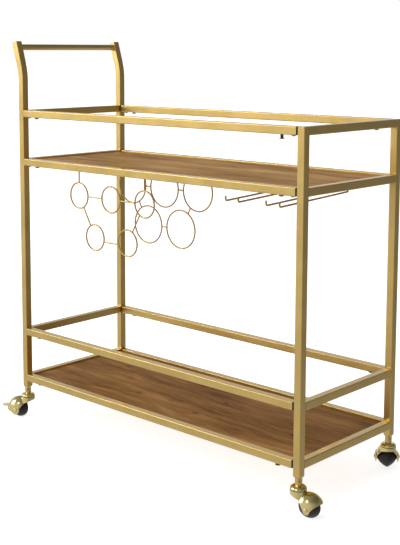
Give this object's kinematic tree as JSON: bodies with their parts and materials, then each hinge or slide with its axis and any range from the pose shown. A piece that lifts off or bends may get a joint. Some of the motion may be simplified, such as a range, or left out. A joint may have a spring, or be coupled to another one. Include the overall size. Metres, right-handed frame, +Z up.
{
  "type": "bar cart",
  "caption": "Two-tier bar cart with square gold tube frame, wood shelves, guard rails, round push handle, hanging wine and stemware racks and swivel ball casters.",
  "frame": {"origin": "on the floor under the middle of the whole box", "axes": "+X along the cart away from the push handle, +Y to the rear, +Z up"},
  "size_m": [0.8402, 0.3686, 0.8232],
  "materials": {
    "frame_gold": "satin gold",
    "rack_wire": "satin gold",
    "caster_brass": "polished",
    "screws": "satin gold",
    "stub_steel": "matt dark primer",
    "board": "matt stained wood grain",
    "wheel": "smooth black",
    "black_plastic": "matt black"
  },
  "bodies": {
    "frame": {"board_screws": "screws", "board_tabs": "frame_gold", "body_ring_1": "rack_wire", "body_ring_2": "rack_wire", "body_ring_3": "rack_wire", "body_ring_4": "rack_wire", "body_ring_5": "rack_wire", "body_ring_links": "rack_wire", "caster_bearing_rings": "black_plastic", "caster_caps": "caster_brass", "caster_sockets": "black_plastic", "caster_stems": "caster_brass", "glass_rack_strip": "rack_wire", "handle_bar": "frame_gold", "left_end_bars": "frame_gold", "left_front_post": "frame_gold", "left_glass_rods": "rack_wire", "left_rear_post": "frame_gold", "lower_board": "board", "lower_guard_front_rail": "frame_gold", "lower_guard_rear_rail": "frame_gold", "lower_shelf_front_rail": "frame_gold", "lower_shelf_rear_rail": "frame_gold", "neck_ring_1": "rack_wire", "neck_ring_2": "rack_wire", "neck_ring_3": "rack_wire", "neck_ring_4": "rack_wire", "neck_ring_5": "rack_wire", "neck_ring_links": "rack_wire", "post_caps": "frame_gold", "rack_screws": "screws", "rail_end_screws": "screws", "rail_lock_screws": "screws", "rail_lock_sleeves": "black_plastic", "rail_stubs": "stub_steel", "right_end_bars": "frame_gold", "right_front_post": "frame_gold", "right_glass_rods": "rack_wire", "right_rear_post": "frame_gold", "upper_board": "board", "upper_guard_front_rail": "frame_gold", "upper_guard_rear_rail": "frame_gold", "upper_shelf_front_rail": "frame_gold", "upper_shelf_rear_rail": "frame_gold", "wine_rack_strips": "rack_wire"},
    "left_front_fork": {"left_front_caster_hood": "caster_brass", "left_front_caster_axle": "caster_brass"},
    "left_front_wheel": {"left_front_caster_wheel": "wheel"},
    "right_front_fork": {"right_front_caster_hood": "caster_brass", "right_front_caster_axle": "caster_brass"},
    "right_front_wheel": {"right_front_caster_wheel": "wheel"},
    "left_rear_fork": {"left_rear_caster_hood": "caster_brass", "left_rear_caster_axle": "caster_brass"},
    "left_rear_wheel": {"left_rear_caster_wheel": "wheel"},
    "right_rear_fork": {"right_rear_caster_hood": "caster_brass", "right_rear_caster_axle": "caster_brass"},
    "right_rear_wheel": {"right_rear_caster_wheel": "wheel"},
    "left_front_brake": {"left_front_brake_lever": "caster_brass"},
    "right_rear_brake": {"right_rear_brake_lever": "caster_brass"}
  },
  "joints": [
    {"name": "left_front_swivel", "type": "hinge", "parent": "frame", "child": "left_front_fork", "pos_m": [-0.36305, -0.15142, 0.048], "axis": [0, 0, 1], "continuous": true},
    {"name": "left_front_roll", "type": "hinge", "parent": "left_front_fork", "child": "left_front_wheel", "pos_m": [-0.38162, -0.16008, 0.02], "axis": [0.4226, -0.9063, 0], "continuous": true},
    {"name": "left_front_brake", "type": "hinge", "parent": "left_front_fork", "child": "left_front_brake", "pos_m": [-0.38162, -0.16008, 0.02], "axis": [0.4226, -0.9063, 0], "range_deg": [0, 18]},
    {"name": "right_front_swivel", "type": "hinge", "parent": "frame", "child": "right_front_fork", "pos_m": [0.37695, -0.15142, 0.048], "axis": [0, 0, 1], "continuous": true},
    {"name": "right_front_roll", "type": "hinge", "parent": "right_front_fork", "child": "right_front_wheel", "pos_m": [0.39645, -0.14508, 0.02], "axis": [-0.309, 0.9511, 0], "continuous": true},
    {"name": "left_rear_swivel", "type": "hinge", "parent": "frame", "child": "left_rear_fork", "pos_m": [-0.36305, 0.13358, 0.048], "axis": [0, 0, 1], "continuous": true},
    {"name": "left_rear_roll", "type": "hinge", "parent": "left_rear_fork", "child": "left_rear_wheel", "pos_m": [-0.3808, 0.14383, 0.02], "axis": [-0.5, -0.866, 0], "continuous": true},
    {"name": "right_rear_swivel", "type": "hinge", "parent": "frame", "child": "right_rear_fork", "pos_m": [0.37695, 0.13358, 0.048], "axis": [0, 0, 1], "continuous": true},
    {"name": "right_rear_roll", "type": "hinge", "parent": "right_rear_fork", "child": "right_rear_wheel", "pos_m": [0.36433, 0.14974, 0.02], "axis": [-0.788, -0.6157, 0], "continuous": true},
    {"name": "right_rear_brake", "type": "hinge", "parent": "right_rear_fork", "child": "right_rear_brake", "pos_m": [0.36433, 0.14974, 0.02], "axis": [-0.788, -0.6157, 0], "range_deg": [0, 18]}
  ]
}
